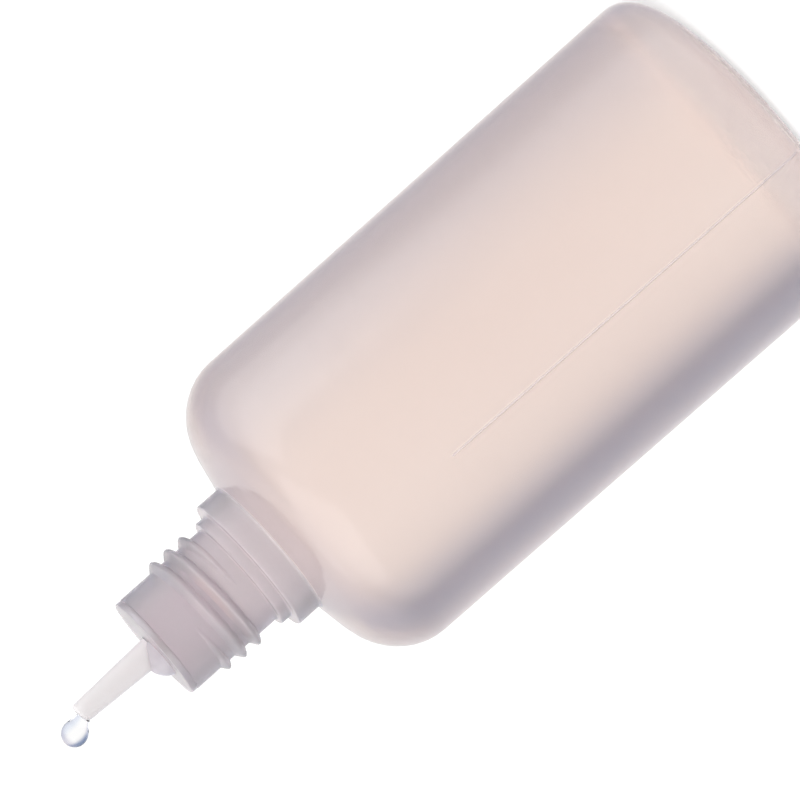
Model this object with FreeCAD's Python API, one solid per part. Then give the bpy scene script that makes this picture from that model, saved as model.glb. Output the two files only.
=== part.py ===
"""Round squeeze dropper bottle with a press-in dropper plug, its liquid and the drops outside it.

Millimetres. +Z runs up the bottle's axis, and the origin is the middle of the base it stands on.
The drops lie towards -X, the side that is lowest when the bottle is tipped to let a drop fall.
"""
import FreeCAD, Part
import math
import os
from FreeCAD import Vector

# Body, a slightly tapered cylinder with a sloping shoulder
HEEL_D = 40.6            # outside diameter at the base
SHOULDER_D = 39.2        # outside diameter where the side meets the shoulder
COLLAR_FOOT_Z = 71.2     # height at which the shoulder meets the neck's collar
SHOULDER_SLOPE = 12.4    # fall of the shoulder towards the side, in degrees
SHOULDER_ROUND = 7.5
HEEL_ROUND = 3.0
WALL = 1.0
BASE_WALL = 1.2
PUSH_UP = 1.5            # height of the hollow under the base
PUSH_UP_D = 30.0

# Neck with its collar, stop ring and screw thread
COLLAR_D = 17.1
COLLAR_H = 3.15
RING_D = 14.5
RING_H = 1.4
NECK_D = 12.9
NECK_H = 11.65           # thread and plain neck, from the ring up to the lip
NECK_BORE = 10.0
NECK_EDGE = 0.25         # rounding of the ring and the collar
LIP_EDGE = 0.1
COLLAR_BLEND = 0.5       # rounding where the collar runs into the shoulder
BORE_BLEND = 1.0         # rounding where the bore opens into the body

# Right-hand thread, one start
THREAD_D = 14.7
THREAD_PITCH = 2.117
THREAD_FOOT = 2.2        # height of the lowest full crest above the ring
THREAD_TURNS = 2.45      # turns at full height
THREAD_RUN_OUT = 0.3     # turns over which each end sinks into the neck
THREAD_CREST = 0.7       # width of the rounded crest
CREST_RISE = 0.25        # rise of the crest's round above its edges
FLANK_UP = 0.65          # run of the flank that faces the lip
FLANK_DOWN = 0.45        # run of the flank that faces the collar
THREAD_ROOT = 0.2        # depth by which the thread is rooted in the neck
SECTIONS_PER_TURN = 24

# Dropper plug: skirt in the bore, flange on the lip and tapered nozzle
PLUG_CLEARANCE = 0.03    # between the sealing ribs and the bore, on the radius
SKIRT_L = 8.0
SKIRT_WALL = 1.0
RIB_COUNT = 3
RIB_W = 0.7
RIB_PROUD = 0.15         # height of a rib above the skirt
RIB_EDGE = 0.1
LEAD_IN = 0.5            # chamfer at the skirt's lower end
FLANGE_D = 12.8
FLANGE_T = 0.8
FLANGE_EDGE = 0.15
ROOF_WALL = 0.8          # between the skirt's hollow and the nozzle's foot
NOZZLE_L = 10.95
NOZZLE_FOOT_D = 3.4
NOZZLE_TIP_D = 2.45
NOZZLE_BLEND = 0.3
TIP_ROUND = 0.45
CHANNEL_D = 1.7          # liquid channel at the nozzle's foot
ORIFICE_D = 0.8          # liquid channel at the nozzle's tip

# Liquid inside the bottle
LIQUID_GAP = 0.05        # between the liquid and the wall
LIQUID_BELOW_PLUG = 0.5

# Drop that hangs from the tip
DROP_D = 3.06
DROP_OFFSET = 1.23       # from the axis to the drop's middle
DROP_HEIGHT = 1.65       # from the tip to the drop's middle
DROP_ROOT_D = 1.5        # width of the drop where it wets the tip
DROP_ROOT_OFFSET = 0.5
DROP_WETS = 0.3          # depth to which the drop wets the tip's edge and the orifice

# Bead of liquid that ran back to the nozzle's foot
BEAD_D = 5.48            # diameter of the ball that the bead is a cap of
BEAD_OFFSET = 1.07       # from the axis to the ball's middle
BEAD_SUNK = 0.91         # depth of the ball's middle under the flange's face

# Heights that follow from the sizes above
COLLAR_TOP_Z = COLLAR_FOOT_Z + COLLAR_H
RING_TOP_Z = COLLAR_TOP_Z + RING_H
LIP_Z = RING_TOP_Z + NECK_H
SKIRT_FOOT_Z = LIP_Z - SKIRT_L
FLANGE_TOP_Z = LIP_Z + FLANGE_T
TIP_Z = FLANGE_TOP_Z + NOZZLE_L
LIQUID_TOP_Z = SKIRT_FOOT_Z - LIQUID_BELOW_PLUG

SLOPE = math.radians(SHOULDER_SLOPE)
ORIGIN = Vector(0, 0, 0)
AXIS = Vector(0, 0, 1)
FULL_TURN = 360


def revolve(corners):
    """Turn a closed outline of (radius, height, rounding) corners about the bottle's axis."""
    points = [Vector(radius, 0, height) for radius, height, rounding in corners]
    edges = []
    ends = []
    for index, point in enumerate(points):
        rounding = corners[index][2]
        if rounding == 0:
            ends.append((point, point))
            continue
        back = (points[index - 1] - point).normalize()
        onward = (points[(index + 1) % len(points)] - point).normalize()
        half_angle = back.getAngle(onward) / 2
        reach = rounding / math.tan(half_angle)
        inward = (back + onward).normalize()
        middle = point + inward * (rounding / math.sin(half_angle) - rounding)
        start = point + back * reach
        finish = point + onward * reach
        edges.append(Part.Arc(start, middle, finish).toShape())
        ends.append((start, finish))
    for index, (arrive, leave) in enumerate(ends):
        edges.append(Part.makeLine(ends[index - 1][1], arrive))
    outline = Part.Wire(Part.__sortEdges__(edges))
    return Part.Face(outline).revolve(ORIGIN, AXIS, FULL_TURN)


def shoulder_z(radius, depth):
    """Height of the shoulder at a radius, for a surface that lies depth under the outside."""
    return COLLAR_FOOT_Z - (radius - COLLAR_D / 2) * math.tan(SLOPE) - depth / math.cos(SLOPE)


def side_radius(height):
    """Outside radius of the tapered side at a height."""
    top = shoulder_z(SHOULDER_D / 2, 0)
    return HEEL_D / 2 - (HEEL_D - SHOULDER_D) / 2 * height / top


def push_up(depth):
    """Ball whose cap is the hollow under the base, grown by depth."""
    ball = (PUSH_UP_D ** 2 / 4 + PUSH_UP ** 2) / (2 * PUSH_UP)
    return Part.makeSphere(ball + depth, Vector(0, 0, PUSH_UP - ball))


def hollow(gap, top):
    """Inside of the bottle up to a height, drawn in from the wall by a gap."""
    depth = WALL + gap
    floor = BASE_WALL + gap
    bore = NECK_BORE / 2 - gap
    side = SHOULDER_D / 2 - depth
    outline = [
        (0, floor, 0),
        (side_radius(floor) - depth, floor, HEEL_ROUND - depth),
        (side, shoulder_z(side, depth), SHOULDER_ROUND - depth),
        (bore, shoulder_z(bore, depth), BORE_BLEND),
        (bore, top, 0),
        (0, top, 0),
    ]
    return revolve(outline).cut(push_up(BASE_WALL + gap))


def thread_section(turn):
    """Outline of the thread, in the plane through the axis, at a number of turns up its helix."""
    sunk = max(0, -turn, turn - THREAD_TURNS) / THREAD_RUN_OUT
    drop = sunk * ((THREAD_D - NECK_D) / 2 + THREAD_ROOT / 2)
    root = NECK_D / 2 - THREAD_ROOT - drop
    crest = THREAD_D / 2 - drop
    middle = RING_TOP_Z + THREAD_FOOT + turn * THREAD_PITCH
    low = middle - THREAD_CREST / 2
    high = middle + THREAD_CREST / 2
    root_low = Vector(root, 0, low - FLANK_DOWN)
    root_high = Vector(root, 0, high + FLANK_UP)
    crest_low = Vector(crest - CREST_RISE, 0, low)
    crest_high = Vector(crest - CREST_RISE, 0, high)
    outline = Part.Wire([
        Part.makeLine(root_low, crest_low),
        Part.Arc(crest_low, Vector(crest, 0, middle), crest_high).toShape(),
        Part.makeLine(crest_high, root_high),
        Part.makeLine(root_high, root_low),
    ])
    outline.rotate(ORIGIN, AXIS, FULL_TURN * turn)
    return outline


def make_thread():
    """Thread ridge lofted through its outlines along the helix."""
    total = THREAD_TURNS + 2 * THREAD_RUN_OUT
    count = math.ceil(total * SECTIONS_PER_TURN)
    turns = [total * index / count - THREAD_RUN_OUT for index in range(count + 1)]
    return Part.makeLoft([thread_section(turn) for turn in turns], True, False)


def make_bottle():
    """Hollow bottle in one piece with its neck, collar, ring and thread."""
    outline = [
        (0, 0, 0),
        (HEEL_D / 2, 0, HEEL_ROUND),
        (SHOULDER_D / 2, shoulder_z(SHOULDER_D / 2, 0), SHOULDER_ROUND),
        (COLLAR_D / 2, COLLAR_FOOT_Z, COLLAR_BLEND),
        (COLLAR_D / 2, COLLAR_TOP_Z, NECK_EDGE),
        (RING_D / 2, COLLAR_TOP_Z, NECK_EDGE),
        (RING_D / 2, RING_TOP_Z, NECK_EDGE),
        (NECK_D / 2, RING_TOP_Z, NECK_EDGE),
        (NECK_D / 2, LIP_Z, LIP_EDGE),
        (0, LIP_Z, 0),
    ]
    outside = revolve(outline).cut(push_up(0)).fuse(make_thread())
    return outside.cut(hollow(0, LIP_Z + WALL)).removeSplitter()


def rib_corners(skirt, crest):
    """Corners of the sealing ribs, from the flange down, evenly spaced along the skirt."""
    corners = []
    for number in range(1, RIB_COUNT + 1):
        height = LIP_Z - (SKIRT_L - LEAD_IN) * number / (RIB_COUNT + 1)
        corners += [
            (skirt, height + RIB_W / 2, 0),
            (crest, height + RIB_W / 2, RIB_EDGE),
            (crest, height - RIB_W / 2, RIB_EDGE),
            (skirt, height - RIB_W / 2, 0),
        ]
    return corners


def make_plug():
    """Dropper plug in one piece, with the liquid channel through it."""
    crest = NECK_BORE / 2 - PLUG_CLEARANCE
    skirt = crest - RIB_PROUD
    inside = skirt - SKIRT_WALL
    outline = [
        (inside, SKIRT_FOOT_Z, 0),
        (inside, FLANGE_TOP_Z - ROOF_WALL, 0),
        (CHANNEL_D / 2, FLANGE_TOP_Z - ROOF_WALL, 0),
        (ORIFICE_D / 2, TIP_Z, 0),
        (NOZZLE_TIP_D / 2, TIP_Z, TIP_ROUND),
        (NOZZLE_FOOT_D / 2, FLANGE_TOP_Z, NOZZLE_BLEND),
        (FLANGE_D / 2, FLANGE_TOP_Z, FLANGE_EDGE),
        (FLANGE_D / 2, LIP_Z, 0),
        (skirt, LIP_Z, 0),
    ]
    outline += rib_corners(skirt, crest)
    outline += [
        (skirt, SKIRT_FOOT_Z + LEAD_IN, 0),
        (skirt - LEAD_IN, SKIRT_FOOT_Z, 0),
    ]
    return revolve(outline)


def make_drop(plug):
    """Drop at the tip: a ball that a cone, rooted in the tip, touches all round."""
    ball = DROP_D / 2
    root = DROP_ROOT_D / 2
    aside = DROP_OFFSET - DROP_ROOT_OFFSET
    length = math.hypot(aside, DROP_HEIGHT + DROP_WETS)
    flare = (ball - root) / length
    touch = Vector(ball * math.sqrt(1 - flare ** 2), 0, length - ball * flare)
    top = Vector(0, 0, length + ball)
    outline = Part.Wire([
        Part.makeLine(ORIGIN, Vector(root, 0, 0)),
        Part.makeLine(Vector(root, 0, 0), touch),
        Part.Arc(touch, Vector(ball, 0, length), top).toShape(),
        Part.makeLine(top, ORIGIN),
    ])
    drop = Part.Face(outline).revolve(ORIGIN, AXIS, FULL_TURN)
    drop.rotate(ORIGIN, Vector(0, 1, 0), -math.degrees(math.asin(aside / length)))
    drop.translate(Vector(-DROP_ROOT_OFFSET, 0, TIP_Z - DROP_WETS))
    return drop.cut(plug)


def make_bead(plug):
    """Bead at the nozzle's foot: a cap of a ball that rests on the flange against the nozzle."""
    middle = Vector(-BEAD_OFFSET, 0, FLANGE_TOP_Z - BEAD_SUNK)
    corner = Vector(-BEAD_D, -BEAD_D, FLANGE_TOP_Z)
    above = Part.makeBox(2 * BEAD_D, 2 * BEAD_D, BEAD_D, corner)
    filled = revolve([
        (0, LIP_Z, 0),
        (0, TIP_Z, 0),
        (NOZZLE_TIP_D / 2, TIP_Z, 0),
        (NOZZLE_FOOT_D / 2, FLANGE_TOP_Z, 0),
        (NOZZLE_FOOT_D / 2, LIP_Z, 0),
    ])
    return Part.makeSphere(BEAD_D / 2, middle).common(above).cut(filled).cut(plug)


def main():
    """Build every piece and write it to its own file."""
    os.makedirs("parts", exist_ok=True)
    plug = make_plug()
    pieces = {
        "bottle": make_bottle(),
        "dropper_plug": plug,
        "liquid": hollow(LIQUID_GAP, LIQUID_TOP_Z),
        "tip_drop": make_drop(plug),
        "runback_bead": make_bead(plug),
    }
    for name, shape in pieces.items():
        print(name, "solids", len(shape.Solids), "valid", shape.isValid(), "ml", round(shape.Volume / 1000, 4))
        shape.exportStep(os.path.join("parts", name + ".step"))


main()
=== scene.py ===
"""Looks of a round squeeze dropper bottle: milky bottle, dropper plug, liquid, drops and stage.

Laid out as an add-on and run as a script. Metres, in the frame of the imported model: +Z runs up the
bottle's axis from the middle of its base, and -X is the side that the drop hangs to.
"""
import math

import bpy
from bpy.props import FloatProperty, FloatVectorProperty, IntProperty, PointerProperty
from mathutils import Matrix, Vector


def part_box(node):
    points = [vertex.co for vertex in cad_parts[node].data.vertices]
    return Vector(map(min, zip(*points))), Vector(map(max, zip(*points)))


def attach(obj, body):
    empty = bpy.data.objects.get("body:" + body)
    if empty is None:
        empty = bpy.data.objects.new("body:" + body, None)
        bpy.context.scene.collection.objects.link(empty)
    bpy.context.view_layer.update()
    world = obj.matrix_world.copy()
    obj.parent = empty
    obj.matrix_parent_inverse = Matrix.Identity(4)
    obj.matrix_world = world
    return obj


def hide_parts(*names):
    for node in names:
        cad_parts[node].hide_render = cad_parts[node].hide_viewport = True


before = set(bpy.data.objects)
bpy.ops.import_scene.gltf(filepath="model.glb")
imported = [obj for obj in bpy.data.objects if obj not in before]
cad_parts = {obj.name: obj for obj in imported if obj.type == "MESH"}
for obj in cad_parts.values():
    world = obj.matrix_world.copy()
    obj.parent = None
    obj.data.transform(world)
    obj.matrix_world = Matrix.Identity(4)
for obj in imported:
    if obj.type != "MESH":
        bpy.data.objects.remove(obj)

bl_info = {
    "name": "Dropper bottle",
    "version": (1, 0, 0),
    "blender": (4, 5, 0),
    "location": "View3D > Sidebar > Dropper bottle",
    "description": "Builds a milky squeeze bottle with its dropper plug, liquid and drops",
    "category": "Object",
}

MM = 0.001
AXIS = Vector((0, 0, 1))
FULL_TURN = 2 * math.pi

# Materials
PLASTIC_IOR = 1.51
WATER_IOR = 1.333
DROP_IOR = 1.42
WHITE = (1, 1, 1)
LIQUID_ROUGH = 0.04
DROP_ROUGH = 0.02
BEAD_ROUGH = 0.4
SCATTER = 1.0 * MM
DEEPEST_RAY = 8
BUMP_STRENGTH = 0.1
BUMP_DEPTH = 0.4 * MM
WAVE_SCALE = 40
DRAWN_OUT = (1, 1, 0.35)
CLOUD_LOW = 0.3
CLOUD_HIGH = 0.7
PAPER_ROUGH = 0.8

# Fineness of the meshes
BODY_STEPS = 160
HALF_STEPS = 96
SEAM_STEPS = 6
PLUG_STEPS = 128
DROP_STEPS = 64
DROP_CORNERS = 24
DOME_CORNERS = 8
BEAD_SEGMENTS = 96
BEAD_RINGS = 48
EDGE_ROWS = 3
LEAST_BEVEL = 3
BEVEL_DEGREES = 9
SHARP_DEGREES = 40
MERGE_WITHIN = 0.001 * MM
NEAR_RING = 0.002 * MM
NEAR_NECK = 0.01 * MM

# Lamps and camera, in metres; the sensor in millimetres
SIDE_PLACE = (0.6, -0.05, 0.3)
SIDE_WIDTH = 0.8
TOP_PLACE = (-0.4, -0.4, 1.2)
TOP_WIDTH = 1.6
SENSOR = 36
CLIP_NEAR = 0.01
CLIP_FAR = 50

# Colour sockets of Blender's Mix node
MIX_FIRST = 6
MIX_SECOND = 7
MIX_RESULT = 2

# Studio walls as clear pieces show them: degrees from +Y towards +X, and the shade there
PANORAMA = (
    (-180, (0.95, 0.95, 0.95)),
    (-112, (0.9, 0.9, 0.92)),
    (-88, (0.6, 0.6, 0.64)),
    (-76, (0.08, 0.08, 0.1)),
    (-62, (0.5, 0.51, 0.57)),
    (-51, (0.64, 0.68, 0.78)),
    (-36, (0.72, 0.76, 0.87)),
    (-22, (0.81, 0.85, 0.93)),
    (-8, WHITE),
    (10, WHITE),
    (18, (0.9, 0.9, 0.91)),
    (25, (0.54, 0.58, 0.68)),
    (32, (0.27, 0.33, 0.49)),
    (46, (0.14, 0.2, 0.35)),
    (62, (0.07, 0.09, 0.15)),
    (76, (0.05, 0.05, 0.07)),
    (88, (0.6, 0.6, 0.64)),
    (112, (0.9, 0.9, 0.92)),
    (180, (0.95, 0.95, 0.95)),
)

BOTTLE_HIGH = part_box("bottle")[1]
PLUG_LOW, PLUG_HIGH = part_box("dropper_plug")
LIQUID_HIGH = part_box("liquid")[1]


def length(name, description, mm):
    """A length property, its default given in millimetres."""
    return FloatProperty(
        name=name, description=description, default=mm * MM, unit="LENGTH", precision=5
    )


def angle(name, description, degrees):
    """An angle property, its default given in degrees."""
    return FloatProperty(
        name=name, description=description, default=math.radians(degrees), subtype="ANGLE"
    )


def colour(name, description, rgb):
    """A colour property in linear RGB."""
    return FloatVectorProperty(
        name=name, description=description, default=rgb, subtype="COLOR", size=3, min=0, max=1
    )


def share(name, description, default):
    """A property between nothing and all."""
    return FloatProperty(
        name=name, description=description, default=default, min=0, max=1, subtype="FACTOR"
    )


def lamp_power(name, description, watts):
    """A lamp's power property."""
    return FloatProperty(name=name, description=description, default=watts, subtype="POWER")


class BodySizes(bpy.types.PropertyGroup):
    """Sizes of the bottle's body."""

    heel_d: length("Heel", "Outside diameter at the base", 40.6)
    shoulder_d: length("Shoulder", "Outside diameter where the side meets the shoulder", 39.2)
    collar_foot: length("Collar foot", "Height at which the shoulder meets the collar", 71.2)
    slope: angle("Slope", "Fall of the shoulder towards the side", 12.4)
    shoulder_round: length("Shoulder round", "Rounding of the shoulder", 7.5)
    heel_round: length("Heel round", "Rounding of the heel", 3.0)
    wall: length("Wall", "Thickness of the side", 1.0)
    base_wall: length("Base wall", "Thickness of the base", 1.2)
    push_up: length("Push-up", "Height of the hollow under the base", 1.5)
    push_up_d: length("Push-up width", "Diameter of the hollow under the base", 30.0)
    seam_w: length("Seam width", "Width of the mould's parting line", 0.25)
    seam_rise: length("Seam rise", "Height of the parting line above the side", 0.12)
    seam_top: length("Seam top", "Height at which the parting line has faded out", 52.0)
    seam_fade: length("Seam fade", "Height over which the parting line fades out", 4.0)
    seam_turn: angle("Seam place", "Turn of the parting line from -Y towards -X", 16.5)


class NeckSizes(bpy.types.PropertyGroup):
    """Sizes of the neck with its collar, ring and thread."""

    collar_d: length("Collar", "Diameter of the collar", 17.1)
    collar_h: length("Collar height", "Height of the collar", 3.15)
    ring_d: length("Ring", "Diameter of the stop ring", 14.5)
    ring_h: length("Ring height", "Height of the stop ring", 1.4)
    neck_d: length("Neck", "Diameter of the neck under the thread", 12.9)
    bore: length("Bore", "Diameter of the neck's bore", 10.0)
    edge: length("Edges", "Rounding of the ring and the collar", 0.25)
    lip_edge: length("Lip edge", "Rounding of the lip", 0.1)
    foot_blend: length("Foot blend", "Rounding where the collar meets the shoulder", 0.5)
    bore_blend: length("Bore blend", "Rounding where the bore opens into the body", 1.0)
    thread_d: length("Thread", "Diameter over the thread", 14.7)
    pitch: length("Pitch", "Rise of the thread in one turn", 2.117)
    thread_foot: length("Thread foot", "Height of the lowest full crest above the ring", 2.2)
    turns: FloatProperty(name="Turns", description="Turns of thread at full height", default=2.45)
    run_out: FloatProperty(name="Run-out", description="Turns over which an end sinks in", default=0.3)
    crest: length("Crest", "Width of the rounded crest", 0.7)
    crest_rise: length("Crest rise", "Rise of the crest's round above its edges", 0.25)
    flank_up: length("Upper flank", "Run of the flank that faces the lip", 0.65)
    flank_down: length("Lower flank", "Run of the flank that faces the collar", 0.45)
    root: length("Root", "Depth by which the thread is rooted in the neck", 0.2)
    rows: IntProperty(name="Rows", description="Rows of faces up the threaded neck", default=116)


class PlugSizes(bpy.types.PropertyGroup):
    """Sizes of the dropper plug."""

    clearance: length("Clearance", "Between the sealing ribs and the bore, on the radius", 0.03)
    skirt_wall: length("Skirt wall", "Thickness of the skirt", 1.0)
    rib_count: IntProperty(name="Ribs", description="Number of sealing ribs", default=3)
    rib_w: length("Rib width", "Width of a sealing rib", 0.7)
    rib_round: length("Rib round", "Rounding of a rib's edges", 0.1)
    rib_proud: length("Rib height", "Height of a rib above the skirt", 0.15)
    lead_in: length("Lead-in", "Chamfer at the skirt's lower end", 0.5)
    flange_t: length("Flange", "Thickness of the flange", 0.8)
    flange_edge: length("Flange edge", "Rounding of the flange", 0.15)
    roof: length("Roof", "Wall between the skirt's hollow and the nozzle's foot", 0.8)
    foot_d: length("Nozzle foot", "Diameter of the nozzle at its foot", 3.4)
    tip_d: length("Nozzle tip", "Diameter of the nozzle at its tip", 2.45)
    blend: length("Nozzle blend", "Rounding at the nozzle's foot", 0.3)
    tip_round: length("Tip round", "Rounding of the nozzle's tip", 0.45)
    channel_d: length("Channel", "Diameter of the liquid channel at the foot", 1.7)
    orifice_d: length("Orifice", "Diameter of the liquid channel at the tip", 0.8)


class LiquidSizes(bpy.types.PropertyGroup):
    """Sizes of the liquid, the hanging drop and the bead at the nozzle's foot."""

    wets_wall: length("Wets wall", "Depth to which the liquid reaches into the wall", 0.05)
    drop_d: length("Drop", "Diameter of the drop", 3.06)
    drop_aside: length("Drop aside", "From the axis to the drop's middle", 1.23)
    drop_height: length("Drop height", "From the tip to the drop's middle", 1.65)
    root_d: length("Drop root", "Width of the drop where it wets the tip", 1.5)
    root_aside: length("Root aside", "From the axis to the middle of the drop's root", 0.5)
    wets: length("Wets", "Depth to which the drop wets the tip's edge", 0.3)
    bead_d: length("Bead", "Diameter of the ball that the bead is a cap of", 5.48)
    bead_aside: length("Bead aside", "From the axis to the middle of that ball", 1.07)
    bead_sunk: length("Bead sunk", "Depth of that middle under the flange's face", 0.91)
    film: length("Film", "Gap between a drop and the plug that it wets", 0.01)


class Finishes(bpy.types.PropertyGroup):
    """Colours and clearness of the pieces."""

    milk_light: colour("Milky light", "Thin places of the body's plastic", (0.995, 0.975, 0.96))
    milk_deep: colour("Milky deep", "Thick places of the body's plastic", (0.985, 0.955, 0.94))
    milk_clear: share("Milky clearness", "Share of light that the body's surface lets through", 0.95)
    milk_smooth: share("Milky smooth", "Roughness of the body's smooth places", 0.14)
    milk_dull: share("Milky dull", "Roughness of the body's dull places", 0.2)
    neck_light: colour("Neck light", "Thin places of the thick-walled neck", (0.96, 0.885, 0.91))
    neck_deep: colour("Neck deep", "Thick places of the thick-walled neck", (0.935, 0.86, 0.885))
    neck_clear: share("Neck clearness", "Share of light that the neck's surface lets through", 0.7)
    neck_smooth: share("Neck smooth", "Roughness of the neck's smooth places", 0.2)
    neck_dull: share("Neck dull", "Roughness of the neck's dull places", 0.3)
    plug_light: colour("Plug light", "Thin places of the plug's plastic", (1, 0.88, 0.885))
    plug_deep: colour("Plug deep", "Thick places of the plug's plastic", (0.99, 0.86, 0.865))
    plug_clear: share("Plug clearness", "Share of light that the plug's surface lets through", 0.08)
    plug_smooth: share("Plug smooth", "Roughness of the plug's smooth places", 0.2)
    plug_dull: share("Plug dull", "Roughness of the plug's dull places", 0.3)
    liquid: colour("Liquid", "The liquid's surface", (1.0, 0.995, 0.99))
    liquid_body: colour("Liquid body", "What the liquid lets through", (0.99, 0.77, 0.67))
    liquid_depth: FloatProperty(
        name="Liquid depth", description="How fast the liquid takes on its colour, per metre", default=18
    )
    # The bead's grey is painted shade: the clear runback liquid is drawn grey for the shade it shows as a
    # lens on the flange.
    bead: colour("Bead", "The cloudy bead at the nozzle's foot", (0.85, 0.81, 0.85))
    bead_clear: share("Bead clearness", "Share of light that the bead's surface lets through", 0.5)


class StageSettings(bpy.types.PropertyGroup):
    """Camera, lights and surround."""

    lens: FloatProperty(name="Lens", description="Focal length in mm on a 36 mm sensor", default=245.25)
    distance: length("Distance", "From the camera to the point it looks at", 604.2)
    elevation: angle("Elevation", "Height of the camera above the horizon", 8.6)
    roll: angle("Roll", "Turn of the camera about its view", -131.4)
    look_x: length("Look x", "Place of the point that the camera looks at", 2.62)
    look_z: length("Look z", "Height of the point that the camera looks at", 49.375)
    paper: length("Paper", "Width of the paper floor", 14000)
    paper_gap: length("Paper gap", "From the base down to the paper", 0.02)
    paper_white: share("Paper white", "Whiteness of the paper", 0.5)
    paper_glow: share("Paper glow", "Share of the paper's white that no shadow takes away", 0.6)
    ambient: share("Ambient", "Level of the even light from all round", 1)
    ceiling_tint: colour("Ceiling tint", "Shade of the ceiling in clear pieces", (1, 0.98, 1))
    floor_tint: colour("Floor tint", "Shade of the floor in clear pieces", (0.68, 0.67, 0.76))
    ceiling_low: angle("Ceiling low", "Elevation at which the walls start to turn into ceiling", 12)
    ceiling_high: angle("Ceiling high", "Elevation at which the ceiling has its full shade", 38)
    floor_high: angle("Floor high", "Elevation at which the walls start to turn into floor", -14)
    floor_low: angle("Floor low", "Elevation at which the floor has its full shade", -48)
    gap_gamma: FloatProperty(
        name="Gap gamma", description="Power that the walls' shade takes above and below", default=0.5
    )
    side_power: lamp_power("Side lamp", "Power of the side lamp", 1.2)
    top_power: lamp_power("Top lamp", "Power of the top lamp", 4.5)


class DropperBottle(bpy.types.PropertyGroup):
    """All settings of the dropper bottle."""

    body: PointerProperty(type=BodySizes)
    neck: PointerProperty(type=NeckSizes)
    plug: PointerProperty(type=PlugSizes)
    liquid: PointerProperty(type=LiquidSizes)
    finish: PointerProperty(type=Finishes)
    stage: PointerProperty(type=StageSettings)


# Modelling helpers

def select_where(piece, test):
    """In edit mode, select the vertices whose place passes a test, and what lies between them."""
    bpy.ops.object.mode_set(mode="OBJECT")
    mesh = piece.data
    chosen = [bool(test(vertex.co)) for vertex in mesh.vertices]
    mesh.vertices.foreach_set("select", chosen)
    mesh.edges.foreach_set("select", [all(chosen[i] for i in edge.vertices) for edge in mesh.edges])
    mesh.polygons.foreach_set(
        "select", [all(chosen[i] for i in face.vertices) for face in mesh.polygons]
    )
    bpy.ops.object.mode_set(mode="EDIT")


def place_on(corner):
    """Point of an outline corner in the plane through the axis."""
    return Vector((corner[0], 0, corner[1]))


def draw_outline(name, corners):
    """Extrude one vertex from corner to corner and leave the outline selected in edit mode."""
    bpy.ops.object.select_all(action="DESELECT")
    bpy.ops.mesh.primitive_plane_add(size=MM)
    piece = bpy.context.object
    piece.name = name
    piece.data.name = name
    bpy.ops.object.mode_set(mode="EDIT")
    bpy.ops.mesh.select_mode(type="VERT")
    bpy.ops.mesh.merge(type="CENTER")
    bpy.ops.mesh.select_all(action="SELECT")
    bpy.ops.transform.translate(value=place_on(corners[0]))
    for before, after in zip(corners, corners[1:]):
        step = place_on(after) - place_on(before)
        bpy.ops.mesh.extrude_region_move(TRANSFORM_OT_translate={"value": step})
    bpy.ops.mesh.select_all(action="SELECT")
    return piece


def close_mesh():
    """Merge doubles and turn all faces outwards."""
    bpy.ops.mesh.select_all(action="SELECT")
    bpy.ops.mesh.remove_doubles(threshold=MERGE_WITHIN)
    bpy.ops.mesh.normals_make_consistent(inside=False)


def round_corners(piece, corners):
    """Bevel the ring that each corner with a rounding has made."""
    for index, corner in enumerate(corners):
        if corner[2] == 0:
            continue
        before = corners[index - 1]
        after = corners[index + 1]
        turn = (place_on(corner) - place_on(before)).angle(place_on(after) - place_on(corner))

        def on_ring(place):
            radius = math.hypot(place.x, place.y)
            return abs(radius - corner[0]) < NEAR_RING and abs(place.z - corner[1]) < NEAR_RING

        select_where(piece, on_ring)
        bpy.ops.mesh.bevel(
            offset=corner[2] * math.tan(turn / 2),
            offset_type="OFFSET",
            segments=max(LEAST_BEVEL, round(math.degrees(turn) / BEVEL_DEGREES)),
            affect="EDGES",
            clamp_overlap=False,
        )


def turn_on_lathe(name, corners, runs=((FULL_TURN, BODY_STEPS),)):
    """Spin an outline of (radius, height, rounding) corners about the axis, in runs of (angle, steps)."""
    piece = draw_outline(name, corners)
    for run_angle, steps in runs:
        bpy.ops.mesh.spin(steps=steps, angle=run_angle, center=(0, 0, 0), axis=AXIS)
    close_mesh()
    round_corners(piece, corners)
    bpy.ops.mesh.select_all(action="SELECT")
    bpy.ops.mesh.normals_make_consistent(inside=False)
    bpy.ops.object.mode_set(mode="OBJECT")
    return piece


def apply_modifier(piece, kind, **settings):
    """Add a modifier with these settings and apply it."""
    bpy.context.view_layer.objects.active = piece
    bpy.ops.object.modifier_add(type=kind)
    modifier = piece.modifiers[-1]
    for key, value in settings.items():
        setattr(modifier, key, value)
    bpy.ops.object.modifier_apply(modifier=modifier.name)


def raise_surface(piece, name, rise, most):
    """Lift each vertex along its normal by rise(place), which is at most most."""
    group = piece.vertex_groups.new(name=name)
    for vertex in piece.data.vertices:
        lift = rise(vertex.co)
        if lift > 0:
            group.add([vertex.index], lift / most, "REPLACE")
    apply_modifier(piece, "DISPLACE", vertex_group=name, strength=most, mid_level=0)
    piece.vertex_groups.remove(piece.vertex_groups[name])


def finish_piece(piece, materials, body, node):
    """Smooth the piece, give it its materials and tie it to the model."""
    bpy.ops.object.select_all(action="DESELECT")
    piece.select_set(True)
    bpy.context.view_layer.objects.active = piece
    bpy.ops.object.shade_smooth_by_angle(angle=math.radians(SHARP_DEGREES))
    piece.data.materials.clear()
    for material in materials:
        piece.data.materials.append(material)
    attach(piece, body)
    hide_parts(node)


# Outlines

def shoulder_height(body, neck, radius, depth):
    """Height of the shoulder at a radius, for a surface that lies depth under the outside."""
    fall = (radius - neck.collar_d / 2) * math.tan(body.slope)
    return body.collar_foot - fall - depth / math.cos(body.slope)


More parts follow.
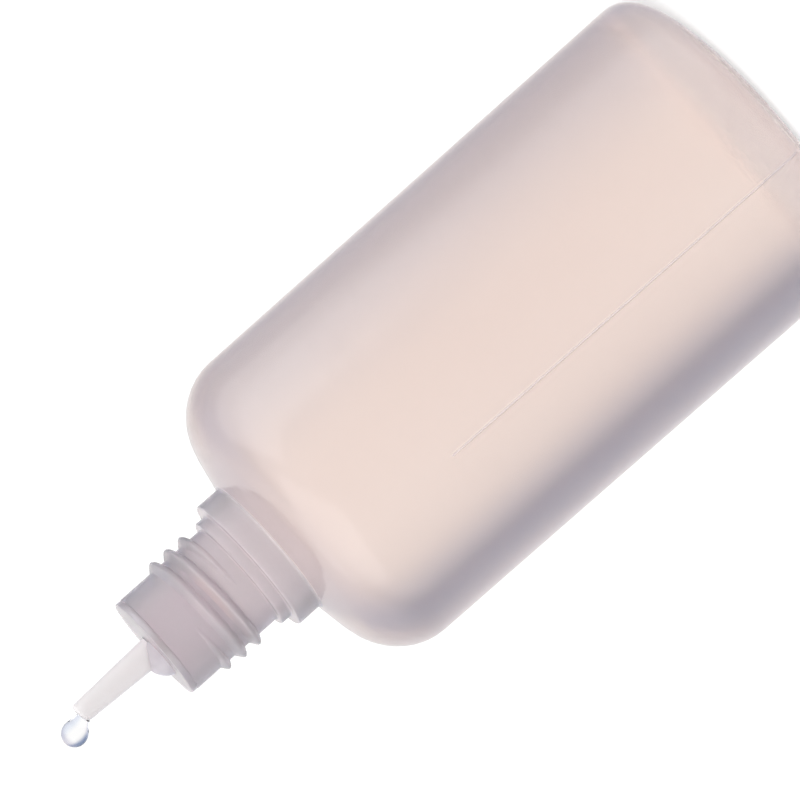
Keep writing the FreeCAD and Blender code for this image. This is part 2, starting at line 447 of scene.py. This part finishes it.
def side_radius(body, neck, height):
    """Outside radius of the tapered side at a height."""
    top = shoulder_height(body, neck, body.shoulder_d / 2, 0)
    return body.heel_d / 2 - (body.heel_d - body.shoulder_d) / 2 * height / top


def dome_corners(body, depth, foot):
    """Corners of the domed base from the axis out to the height of its foot."""
    ball = (body.push_up_d ** 2 / 4 + body.push_up ** 2) / (2 * body.push_up)
    middle = body.push_up - ball
    ball += depth
    reach = math.acos((foot - middle) / ball)
    turns = [reach * step / DOME_CORNERS for step in range(DOME_CORNERS + 1)]
    return [(ball * math.sin(turn), middle + ball * math.cos(turn), 0) for turn in turns]


def inside_corners(body, neck, gap, top):
    """Corners of the bottle's inside from a height in the bore down to the axis, drawn in by a gap."""
    depth = body.wall + gap
    floor = body.base_wall + gap
    bore = neck.bore / 2 - gap
    side = body.shoulder_d / 2 - depth
    corners = [
        (bore, top, 0),
        (bore, shoulder_height(body, neck, bore, depth), neck.bore_blend),
        (side, shoulder_height(body, neck, side, depth), body.shoulder_round - depth),
        (side_radius(body, neck, floor) - depth, floor, body.heel_round - depth),
    ]
    return corners + dome_corners(body, floor, floor)[::-1]


def outside_corners(body, neck, lip):
    """Corners of the bottle's outside from the axis under the base up to the lip."""
    collar_top = body.collar_foot + neck.collar_h
    ring_top = collar_top + neck.ring_h
    neck_r = neck.neck_d / 2
    rows = range(EDGE_ROWS, neck.rows - EDGE_ROWS + 1)
    heights = [ring_top + (lip - ring_top) * row / neck.rows for row in rows]
    fades = (body.seam_top - body.seam_fade, body.seam_top)
    return dome_corners(body, 0, 0) + [
        (body.heel_d / 2, 0, body.heel_round),
        *[(side_radius(body, neck, height), height, 0) for height in fades],
        (body.shoulder_d / 2, shoulder_height(body, neck, body.shoulder_d / 2, 0), body.shoulder_round),
        (neck.collar_d / 2, body.collar_foot, neck.foot_blend),
        (neck.collar_d / 2, collar_top, neck.edge),
        (neck.ring_d / 2, collar_top, neck.edge),
        (neck.ring_d / 2, ring_top, neck.edge),
        (neck_r, ring_top, neck.edge),
        *[(neck_r, height, 0) for height in heights],
        (neck_r, lip, neck.lip_edge),
    ]


def thread_rise(body, neck, place):
    """Height of the thread above the neck at a place on the neck."""
    ring_top = body.collar_foot + neck.collar_h + neck.ring_h
    radius = math.hypot(place.x, place.y)
    if place.z < ring_top + neck.edge or abs(radius - neck.neck_d / 2) > NEAR_NECK:
        return 0
    turn_here = (math.atan2(place.y, place.x) / FULL_TURN) % 1
    depth = (neck.thread_d - neck.neck_d) / 2
    best = 0
    for whole in range(-1, math.ceil(neck.turns) + 1):
        turn = turn_here + whole
        sunk = max(0, -turn, turn - neck.turns) / neck.run_out
        away = place.z - (ring_top + neck.thread_foot + turn * neck.pitch)
        over = abs(away) - neck.crest / 2
        if over <= 0:
            rise = depth - neck.crest_rise * (away / (neck.crest / 2)) ** 2
        else:
            run = neck.flank_up if away > 0 else neck.flank_down
            rise = depth - neck.crest_rise - over / run * (depth - neck.crest_rise + neck.root)
        best = max(best, rise - sunk * (depth + neck.root / 2))
    return best


def seam_rise(body, neck, place):
    """Height of the mould's parting line above the side at a place."""
    if place.z > body.seam_top or place.z < body.heel_round / 2:
        return 0
    radius = math.hypot(place.x, place.y)
    if abs(radius - side_radius(body, neck, place.z)) > body.wall / 2:
        return 0
    line = Vector((math.sin(body.seam_turn), math.cos(body.seam_turn)))
    off = abs(place.x * line.y - place.y * line.x)
    if off > body.seam_w / 2:
        return 0
    fade = min(1, (body.seam_top - place.z) / body.seam_fade)
    return body.seam_rise * fade * math.cos(off / body.seam_w * math.pi)


# Node helpers

def new_node(tree, kind, inputs=None, **settings):
    """Add a node, set its settings and give its inputs their values or links."""
    node = tree.nodes.new(kind)
    for key, value in settings.items():
        setattr(node, key, value)
    for key, value in (inputs or {}).items():
        if isinstance(value, bpy.types.NodeSocket):
            tree.links.new(value, node.inputs[key])
        else:
            node.inputs[key].default_value = value
    return node


def moulded_surface():
    """Node group with the blotchy thickness, fine grain and soft waves of moulded plastic."""
    name = "moulded_surface"
    if name in bpy.data.node_groups:
        return bpy.data.node_groups[name]
    group = bpy.data.node_groups.new(name, "ShaderNodeTree")
    sockets = group.interface
    for title, default in (
        ("Cloud scale", 60.0),
        ("Grain scale", 2500.0),
        ("Smooth", 0.3),
        ("Dull", 0.45),
        ("Grain", 0.2),
    ):
        socket = sockets.new_socket(name=title, in_out="INPUT", socket_type="NodeSocketFloat")
        socket.default_value = default
    for title in ("Thickness", "Roughness", "Height"):
        sockets.new_socket(name=title, in_out="OUTPUT", socket_type="NodeSocketFloat")
    given = new_node(group, "NodeGroupInput").outputs
    place = new_node(group, "ShaderNodeTexCoord").outputs["Object"]
    drawn = new_node(group, "ShaderNodeMapping", {"Vector": place, "Scale": DRAWN_OUT}).outputs[0]
    cloud = new_node(
        group,
        "ShaderNodeTexNoise",
        {"Vector": drawn, "Scale": given["Cloud scale"], "Detail": 3.0, "Roughness": 0.5},
    ).outputs["Fac"]
    grain = new_node(
        group,
        "ShaderNodeTexNoise",
        {"Vector": place, "Scale": given["Grain scale"], "Detail": 2.0},
    ).outputs["Fac"]
    span = {"Value": cloud, "From Min": CLOUD_LOW, "From Max": CLOUD_HIGH}
    ends = {"To Min": given["Smooth"], "To Max": given["Dull"]}
    thickness = new_node(group, "ShaderNodeMapRange", span).outputs[0]
    roughness = new_node(group, "ShaderNodeMapRange", {**span, **ends}).outputs[0]
    fine = new_node(
        group, "ShaderNodeMath", {0: grain, 1: given["Grain"]}, operation="MULTIPLY"
    ).outputs[0]
    height = new_node(group, "ShaderNodeMath", {0: cloud, 1: fine}, operation="ADD").outputs[0]
    new_node(
        group,
        "NodeGroupOutput",
        {"Thickness": thickness, "Roughness": roughness, "Height": height},
    )
    return group


def mix_colour(tree, factor, first, second, **settings):
    """Colour between two colours or colour sockets, by a factor."""
    node = new_node(tree, "ShaderNodeMix", {0: factor}, data_type="RGBA", **settings)
    for index, value in ((MIX_FIRST, first), (MIX_SECOND, second)):
        if isinstance(value, bpy.types.NodeSocket):
            tree.links.new(value, node.inputs[index])
        else:
            node.inputs[index].default_value = (*value, 1)
    return node.outputs[MIX_RESULT]


def new_material(name):
    """An empty node material and its Principled shader."""
    material = bpy.data.materials.new(name)
    material.use_nodes = True
    return material, material.node_tree, material.node_tree.nodes["Principled BSDF"]


def pass_deep_rays(tree, shader):
    """Let rays that have been through many surfaces go straight on, so that none ends in black."""
    path = new_node(tree, "ShaderNodeLightPath").outputs
    near = new_node(tree, "ShaderNodeMath", {0: path["Ray Depth"], 1: DEEPEST_RAY}, operation="LESS_THAN")
    tree.links.new(near.outputs[0], shader.inputs["Alpha"])


def absorb(material, tint, density):
    """Give the material's inside a steady absorption."""
    tree = material.node_tree
    inside = new_node(tree, "ShaderNodeVolumeAbsorption", {"Color": (*tint, 1), "Density": density})
    tree.links.new(inside.outputs[0], tree.nodes["Material Output"].inputs["Volume"])


def plastic(name, light, deep, smooth, dull, clear, milkiness=0):
    """Translucent low-density polyethylene."""
    material, tree, shader = new_material(name)
    levels = {"Smooth": smooth, "Dull": dull}
    surface = new_node(tree, "ShaderNodeGroup", levels, node_tree=moulded_surface())
    tint = mix_colour(tree, surface.outputs["Thickness"], light, deep)
    bump = new_node(
        tree,
        "ShaderNodeBump",
        {"Height": surface.outputs["Height"], "Strength": BUMP_STRENGTH, "Distance": BUMP_DEPTH},
    )
    tree.links.new(tint, shader.inputs["Base Color"])
    tree.links.new(surface.outputs["Roughness"], shader.inputs["Roughness"])
    tree.links.new(bump.outputs[0], shader.inputs["Normal"])
    shader.inputs["IOR"].default_value = PLASTIC_IOR
    shader.inputs["Transmission Weight"].default_value = clear
    shader.inputs["Subsurface Weight"].default_value = milkiness
    shader.inputs["Subsurface Radius"].default_value = WHITE
    shader.inputs["Subsurface Scale"].default_value = SCATTER
    pass_deep_rays(tree, shader)
    return material


def plastic_of(finish, kind, name, milkiness=0):
    """Plastic with the finish of one kind: milk, neck or plug."""
    parts = ("light", "deep", "smooth", "dull", "clear")
    return plastic(name, *[getattr(finish, f"{kind}_{part}") for part in parts], milkiness)


def water(name, tint, clear, most_rough, ior=WATER_IOR):
    """Watery liquid with a calm, faintly uneven surface."""
    material, tree, shader = new_material(name)
    place = new_node(tree, "ShaderNodeTexCoord").outputs["Object"]
    wave = new_node(tree, "ShaderNodeTexNoise", {"Vector": place, "Scale": WAVE_SCALE, "Detail": 1.0})
    calm = new_node(
        tree,
        "ShaderNodeMapRange",
        {"Value": wave.outputs["Fac"], "To Min": 0.0, "To Max": most_rough},
    )
    tree.links.new(calm.outputs[0], shader.inputs["Roughness"])
    shader.inputs["Base Color"].default_value = (*tint, 1)
    shader.inputs["IOR"].default_value = ior
    shader.inputs["Transmission Weight"].default_value = clear
    pass_deep_rays(tree, shader)
    return material


# Operators

class DROPPER_OT_bottle(bpy.types.Operator):
    """Build the milky bottle with its neck, thread and parting line"""

    bl_idname = "dropper.bottle"
    bl_label = "Bottle"

    def execute(self, context):
        settings = context.scene.dropper_bottle
        body = settings.body
        neck = settings.neck
        lip = BOTTLE_HIGH.z
        corners = outside_corners(body, neck, lip) + inside_corners(body, neck, 0, lip)
        seam_angle = body.seam_w / (body.heel_d / 2)
        half = ((math.pi - seam_angle, HALF_STEPS), (seam_angle, SEAM_STEPS))
        piece = turn_on_lathe("milky_bottle", corners, half + half)
        turn = math.pi / 2 - body.seam_turn - seam_angle / 2
        piece.data.transform(Matrix.Rotation(turn, 4, "Z"))
        raise_surface(
            piece,
            "thread",
            lambda place: thread_rise(body, neck, place),
            (neck.thread_d - neck.neck_d) / 2,
        )
        raise_surface(piece, "seam", lambda place: seam_rise(body, neck, place), body.seam_rise)
        finish = settings.finish
        thin = plastic_of(finish, "milk", "Milky plastic")
        thick = plastic_of(finish, "neck", "Milky plastic of the neck", 1)
        finish_piece(piece, [thin, thick], "bottle", "bottle")
        # Neck faces take the thick-walled neck's plastic. The parting line's faces take it too: the raised
        # ridge is real, and the darker, milkier line on it is painted shade standing in for the shade that
        # the ridge shows.
        for face in piece.data.polygons:
            on_neck = face.center.z > body.collar_foot
            on_seam = seam_rise(body, neck, face.center) > 0
            face.material_index = int(on_neck or on_seam)
        return {"FINISHED"}


class DROPPER_OT_plug(bpy.types.Operator):
    """Build the dropper plug with its skirt, sealing ribs, flange and nozzle"""

    bl_idname = "dropper.plug"
    bl_label = "Dropper plug"

    def execute(self, context):
        settings = context.scene.dropper_bottle
        plug = settings.plug
        lip = BOTTLE_HIGH.z
        flange_top = lip + plug.flange_t
        crest = settings.neck.bore / 2 - plug.clearance
        skirt = crest - plug.rib_proud
        inside = skirt - plug.skirt_wall
        skirt_foot = PLUG_LOW.z
        corners = [
            (inside, skirt_foot, 0),
            (inside, flange_top - plug.roof, 0),
            (plug.channel_d / 2, flange_top - plug.roof, 0),
            (plug.orifice_d / 2, PLUG_HIGH.z, 0),
            (plug.tip_d / 2, PLUG_HIGH.z, plug.tip_round),
            (plug.foot_d / 2, flange_top, plug.blend),
            (PLUG_HIGH.x, flange_top, plug.flange_edge),
            (PLUG_HIGH.x, lip, 0),
            (skirt, lip, 0),
        ]
        for number in range(1, plug.rib_count + 1):
            drop = (lip - skirt_foot - plug.lead_in) * number / (plug.rib_count + 1)
            high = lip - drop + plug.rib_w / 2
            low = lip - drop - plug.rib_w / 2
            edge = plug.rib_round
            corners += [(skirt, high, 0), (crest, high, edge), (crest, low, edge), (skirt, low, 0)]
        corners += [
            (skirt, skirt_foot + plug.lead_in, 0),
            (skirt - plug.lead_in, skirt_foot, 0),
            (inside, skirt_foot, 0),
        ]
        piece = turn_on_lathe("dropper_plug_moulding", corners, ((FULL_TURN, PLUG_STEPS),))
        finish = settings.finish
        thin = plastic_of(finish, "plug", "Plug plastic", 1)
        thick = plastic_of(finish, "neck", "Plug plastic of the flange", 1)
        finish_piece(piece, [thin, thick], "plug", "dropper_plug")
        for face in piece.data.polygons:
            face.material_index = int(face.center.z < flange_top + plug.blend / 2)
        return {"FINISHED"}


class DROPPER_OT_liquid(bpy.types.Operator):
    """Fill the bottle with liquid up to the plug"""

    bl_idname = "dropper.liquid"
    bl_label = "Liquid"

    def execute(self, context):
        settings = context.scene.dropper_bottle
        corners = [(0, LIQUID_HIGH.z, 0)]
        grown = -settings.liquid.wets_wall
        corners += inside_corners(settings.body, settings.neck, grown, LIQUID_HIGH.z)
        piece = turn_on_lathe("liquid_fill", corners)
        finish = settings.finish
        material = water("Clear liquid", finish.liquid, 1, LIQUID_ROUGH)
        absorb(material, finish.liquid_body, finish.liquid_depth)
        finish_piece(piece, [material], "bottle", "liquid")
        return {"FINISHED"}


def plug_cutter(film):
    """Copy of the plug, grown by the film that parts it from a drop."""
    bpy.ops.object.select_all(action="DESELECT")
    plug = bpy.data.objects["dropper_plug_moulding"]
    plug.select_set(True)
    bpy.context.view_layer.objects.active = plug
    bpy.ops.object.duplicate()
    cutter = bpy.context.object
    bpy.ops.object.mode_set(mode="EDIT")
    bpy.ops.mesh.select_all(action="SELECT")
    bpy.ops.transform.shrink_fatten(value=film)
    bpy.ops.object.mode_set(mode="OBJECT")
    return cutter


class DROPPER_OT_drops(bpy.types.Operator):
    """Hang the drop from the tip and lay the bead at the nozzle's foot"""

    bl_idname = "dropper.drops"
    bl_label = "Drops"

    def execute(self, context):
        settings = context.scene.dropper_bottle
        sizes = settings.liquid
        finish = settings.finish
        cutter = plug_cutter(sizes.film)

        ball = sizes.drop_d / 2
        root = sizes.root_d / 2
        aside = sizes.drop_aside - sizes.root_aside
        reach = math.hypot(aside, sizes.drop_height + sizes.wets)
        flare = (ball - root) / reach
        lean = math.asin(flare)
        corners = [(0, 0, 0), (root, 0, 0)]
        for step in range(DROP_CORNERS + 1):
            turn = -lean + (math.pi / 2 + lean) * step / DROP_CORNERS
            corners.append((ball * math.cos(turn), reach + ball * math.sin(turn), 0))
        drop = turn_on_lathe("hanging_drop", corners, ((FULL_TURN, DROP_STEPS),))
        drop.data.transform(
            Matrix.Translation((-sizes.root_aside, 0, PLUG_HIGH.z - sizes.wets))
            @ Matrix.Rotation(-math.asin(aside / reach), 4, "Y")
        )
        apply_modifier(drop, "BOOLEAN", operation="DIFFERENCE", solver="EXACT", object=cutter)
        clear = water("Drop liquid", finish.liquid, 1, DROP_ROUGH, DROP_IOR)
        finish_piece(drop, [clear], "plug", "tip_drop")

        flange_top = BOTTLE_HIGH.z + settings.plug.flange_t
        bpy.ops.object.select_all(action="DESELECT")
        bpy.ops.mesh.primitive_uv_sphere_add(
            segments=BEAD_SEGMENTS, ring_count=BEAD_RINGS, radius=sizes.bead_d / 2
        )
        bead = bpy.context.object
        bead.name = "foot_bead"
        bead.data.transform(Matrix.Translation((-sizes.bead_aside, 0, flange_top - sizes.bead_sunk)))
        bead.matrix_world = Matrix.Identity(4)
        bpy.ops.object.mode_set(mode="EDIT")
        bpy.ops.mesh.select_all(action="SELECT")
        bpy.ops.mesh.bisect(
            plane_co=(0, 0, flange_top + sizes.film),
            plane_no=AXIS,
            use_fill=True,
            clear_inner=True,
        )
        bpy.ops.object.mode_set(mode="OBJECT")
        apply_modifier(bead, "BOOLEAN", operation="DIFFERENCE", solver="EXACT", object=cutter)
        # The bead is the same liquid with a painted grey. The grey stands in for the shade that a clear
        # liquid lens on the flange shows.
        shade_painted = water("Bead liquid", finish.bead, finish.bead_clear, BEAD_ROUGH)
        finish_piece(bead, [shade_painted], "plug", "runback_bead")
        bpy.data.objects.remove(cutter)
        return {"FINISHED"}


def shown_in_glass(tree):
    """Mask of the rays that clear and shiny pieces send out, and the Light Path outputs."""
    path = new_node(tree, "ShaderNodeLightPath").outputs
    kinds = {0: path["Is Glossy Ray"], 1: path["Is Transmission Ray"]}
    return new_node(tree, "ShaderNodeMath", kinds, operation="MAXIMUM").outputs[0], path


def level_mask(tree, height, start, full):
    """Mask that grows from nothing at one elevation to all at another."""
    levels = {"Value": height, "From Min": math.sin(start), "From Max": math.sin(full)}
    return new_node(tree, "ShaderNodeMapRange", levels, interpolation_type="SMOOTHSTEP").outputs[0]


def studio_world(stage):
    """White surround for the camera; clear pieces show the walls, with softer shades above and below."""
    world = bpy.data.worlds.new("Studio surround")
    world.use_nodes = True
    tree = world.node_tree
    way = new_node(tree, "ShaderNodeTexCoord").outputs["Generated"]
    parts = new_node(tree, "ShaderNodeSeparateXYZ", {"Vector": way}).outputs
    turn = new_node(tree, "ShaderNodeMath", {0: parts["X"], 1: parts["Y"]}, operation="ARCTAN2")
    around = new_node(
        tree,
        "ShaderNodeMapRange",
        {"Value": turn.outputs[0], "From Min": -math.pi, "From Max": math.pi},
    )
    walls = new_node(tree, "ShaderNodeValToRGB", {"Fac": around.outputs[0]})
    ramp = walls.color_ramp
    ramp.interpolation = "LINEAR"
    for stop, (_, shade) in zip(ramp.elements, (PANORAMA[0], PANORAMA[-1])):
        stop.color = (*shade, 1)
    for azimuth, shade in PANORAMA[1:-1]:
        stop = ramp.elements.new(math.radians(azimuth) / FULL_TURN + 0.5)
        stop.color = (*shade, 1)
    deep = new_node(tree, "ShaderNodeGamma", {"Color": walls.outputs["Color"], "Gamma": stage.gap_gamma})
    surround = walls.outputs["Color"]
    for start, full, tint in (
        (stage.ceiling_low, stage.ceiling_high, stage.ceiling_tint),
        (stage.floor_high, stage.floor_low, stage.floor_tint),
    ):
        shade = mix_colour(tree, 1, deep.outputs["Color"], tint, blend_type="MULTIPLY")
        surround = mix_colour(tree, level_mask(tree, parts["Z"], start, full), surround, shade)
    in_glass, path = shown_in_glass(tree)
    lit = mix_colour(tree, in_glass, (stage.ambient,) * 3, surround)
    seen = mix_colour(tree, path["Is Camera Ray"], lit, WHITE)
    tree.links.new(seen, tree.nodes["Background"].inputs["Color"])
    bpy.context.scene.world = world


def add_floor(stage):
    """Paper floor that is white to the camera, keeps the shadow and is left out of what glass shows."""
    bpy.ops.object.select_all(action="DESELECT")
    bpy.ops.mesh.primitive_plane_add(size=stage.paper, location=(0, 0, -stage.paper_gap))
    floor = bpy.context.object
    floor.name = "paper_floor"
    material, tree, shader = new_material("White paper")
    shader.inputs["Base Color"].default_value = (*(stage.paper_white,) * 3, 1)
    shader.inputs["Roughness"].default_value = PAPER_ROUGH
    shader.inputs["Emission Color"].default_value = (*WHITE, 1)
    in_glass, path = shown_in_glass(tree)
    glow = {0: path["Is Camera Ray"], 1: stage.paper_glow}
    glow_node = new_node(tree, "ShaderNodeMath", glow, operation="MULTIPLY")
    tree.links.new(glow_node.outputs[0], shader.inputs["Emission Strength"])
    gone = new_node(tree, "ShaderNodeBsdfTransparent").outputs[0]
    paper = new_node(tree, "ShaderNodeMixShader", {0: in_glass, 1: shader.outputs[0], 2: gone})
    tree.links.new(paper.outputs[0], tree.nodes["Material Output"].inputs["Surface"])
    floor.data.materials.append(material)


def add_softbox(name, place, aim, width, power):
    """Square area lamp at a place, turned to the aim."""
    way = Vector(aim) - Vector(place)
    bpy.ops.object.light_add(type="AREA", location=place, rotation=way.to_track_quat("-Z", "Y").to_euler())
    lamp = bpy.context.object
    lamp.name = name
    lamp.data.size = width
    lamp.data.energy = power


def add_camera(stage):
    """Long-lens camera at the photograph's angle."""
    bpy.ops.object.camera_add()
    camera = bpy.context.object
    camera.name = "photo_camera"
    camera.data.sensor_width = SENSOR
    camera.data.lens = stage.lens
    camera.data.clip_start = CLIP_NEAR
    camera.data.clip_end = CLIP_FAR
    target = Vector((stage.look_x, 0, stage.look_z))
    tilt = Matrix.Rotation(math.pi / 2 - stage.elevation, 4, "X")
    camera.matrix_world = (
        Matrix.Translation(target)
        @ tilt
        @ Matrix.Rotation(stage.roll, 4, "Z")
        @ Matrix.Translation((0, 0, stage.distance))
    )
    bpy.context.scene.camera = camera


class DROPPER_OT_stage(bpy.types.Operator):
    """Set up the floor, lamps, surround and camera"""

    bl_idname = "dropper.stage"
    bl_label = "Stage"

    def execute(self, context):
        stage = context.scene.dropper_bottle.stage
        studio_world(stage)
        add_floor(stage)
        middle = (0, 0, BOTTLE_HIGH.z / 2)
        add_softbox("side_softbox", SIDE_PLACE, middle, SIDE_WIDTH, stage.side_power)
        add_softbox("top_softbox", TOP_PLACE, middle, TOP_WIDTH, stage.top_power)
        add_camera(stage)
        context.scene.view_settings.view_transform = "Standard"
        return {"FINISHED"}


class DROPPER_PT_panel(bpy.types.Panel):
    """Sidebar panel with the dropper bottle's operators"""

    bl_idname = "DROPPER_PT_panel"
    bl_label = "Dropper bottle"
    bl_space_type = "VIEW_3D"
    bl_region_type = "UI"
    bl_category = "Dropper bottle"

    def draw(self, context):
        for operator in OPERATORS:
            self.layout.operator(operator.bl_idname)


SETTINGS = (BodySizes, NeckSizes, PlugSizes, LiquidSizes, Finishes, StageSettings, DropperBottle)
OPERATORS = (
    DROPPER_OT_bottle,
    DROPPER_OT_plug,
    DROPPER_OT_liquid,
    DROPPER_OT_drops,
    DROPPER_OT_stage,
)
CLASSES = (*SETTINGS, *OPERATORS, DROPPER_PT_panel)


def register():
    """Register the classes and hang the settings on the scene."""
    for kind in CLASSES:
        bpy.utils.register_class(kind)
    bpy.types.Scene.dropper_bottle = PointerProperty(type=DropperBottle)


def unregister():
    """Take the settings off the scene and unregister the classes."""
    del bpy.types.Scene.dropper_bottle
    for kind in reversed(CLASSES):
        bpy.utils.unregister_class(kind)


def main():
    """Build the dressed bottle and its stage."""
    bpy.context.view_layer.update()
    register()
    bpy.ops.dropper.bottle()
    bpy.ops.dropper.plug()
    bpy.ops.dropper.liquid()
    bpy.ops.dropper.drops()
    bpy.ops.dropper.stage()


if __name__ == "__main__":
    main()
